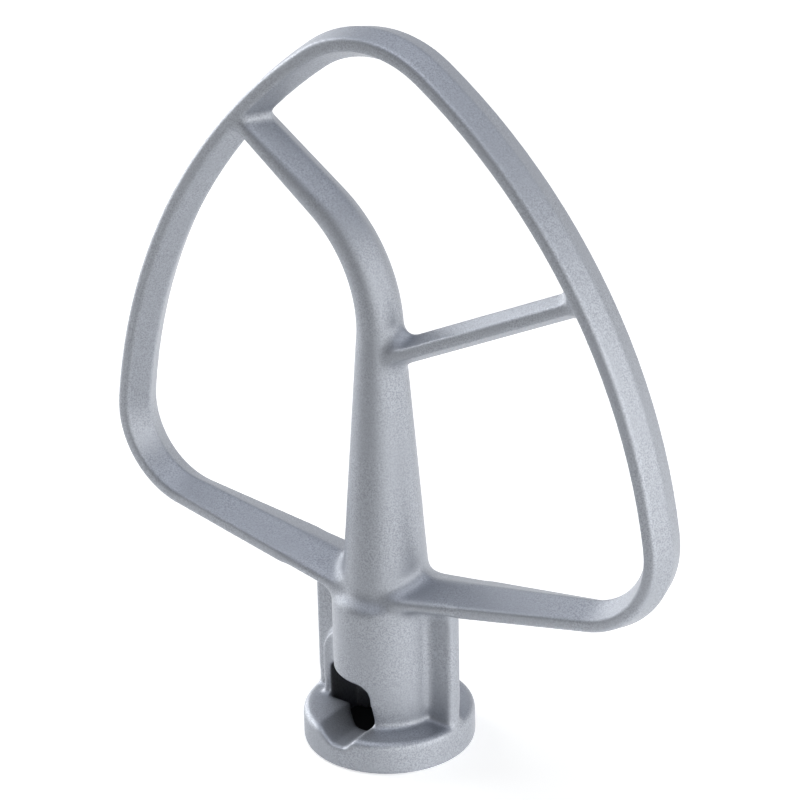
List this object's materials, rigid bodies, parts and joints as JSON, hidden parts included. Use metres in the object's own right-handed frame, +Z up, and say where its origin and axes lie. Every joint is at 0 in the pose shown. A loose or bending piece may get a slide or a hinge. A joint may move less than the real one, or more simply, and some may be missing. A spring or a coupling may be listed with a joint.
{
  "type": "stand mixer flat beater",
  "caption": "Cast flat beater: a rounded triangular ribbed frame with a stem and a crossbar, on a bayonet collar for a mixer's shaft and cross pin.",
  "frame": {"origin": "on the shaft axis, at the collar's bottom face", "axes": "+Z up the shaft axis towards the beater's tip, X across the frame with the crossbar at +X, -Y the side with the pin slot"},
  "size_m": [0.1338, 0.0354, 0.1511],
  "materials": {
    "flat_beater": "satin, bead blasted casting"
  },
  "bodies": {
    "root": {"flat_beater": "flat_beater"}
  },
  "joints": []
}
